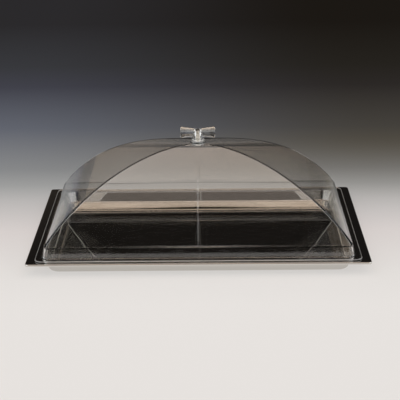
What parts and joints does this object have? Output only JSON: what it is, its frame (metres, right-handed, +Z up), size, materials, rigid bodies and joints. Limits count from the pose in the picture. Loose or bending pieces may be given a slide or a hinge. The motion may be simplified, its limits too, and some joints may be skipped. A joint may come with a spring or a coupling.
{
  "type": "buffet food cover dome",
  "caption": "Clear vaulted buffet food cover with a bow-tie handle, standing on its shallow polished steel serving tray and lifting straight off it.",
  "frame": {"origin": "middle of the tray's flat underside, which is the lowest face of the set", "axes": "+X along the tray's length and the handle's wings, +Y across it to the back, +Z up, the way the cover lifts"},
  "size_m": [0.53, 0.325, 0.1865],
  "materials": {
    "polished_steel": "stainless steel sheet, drawn and mirror polished",
    "clear_cover": "clear moulded plastic, polished",
    "clear_handle": "clear moulded plastic, thick and polished",
    "fixing_steel": "bright turned stainless steel",
    "soft_washer": "translucent silicone"
  },
  "bodies": {
    "tray": {"tray": "polished_steel"},
    "cover": {"cover_shell": "clear_cover", "handle": "clear_handle", "handle_insert": "fixing_steel", "seat_gasket": "soft_washer", "inner_gasket": "soft_washer", "flat_washer": "fixing_steel", "fixing_screw": "fixing_steel"}
  },
  "joints": [
    {"name": "cover_lift", "type": "slide", "parent": "tray", "child": "cover", "axis": [0, 0, 1], "range_m": [0, 0.25]}
  ]
}
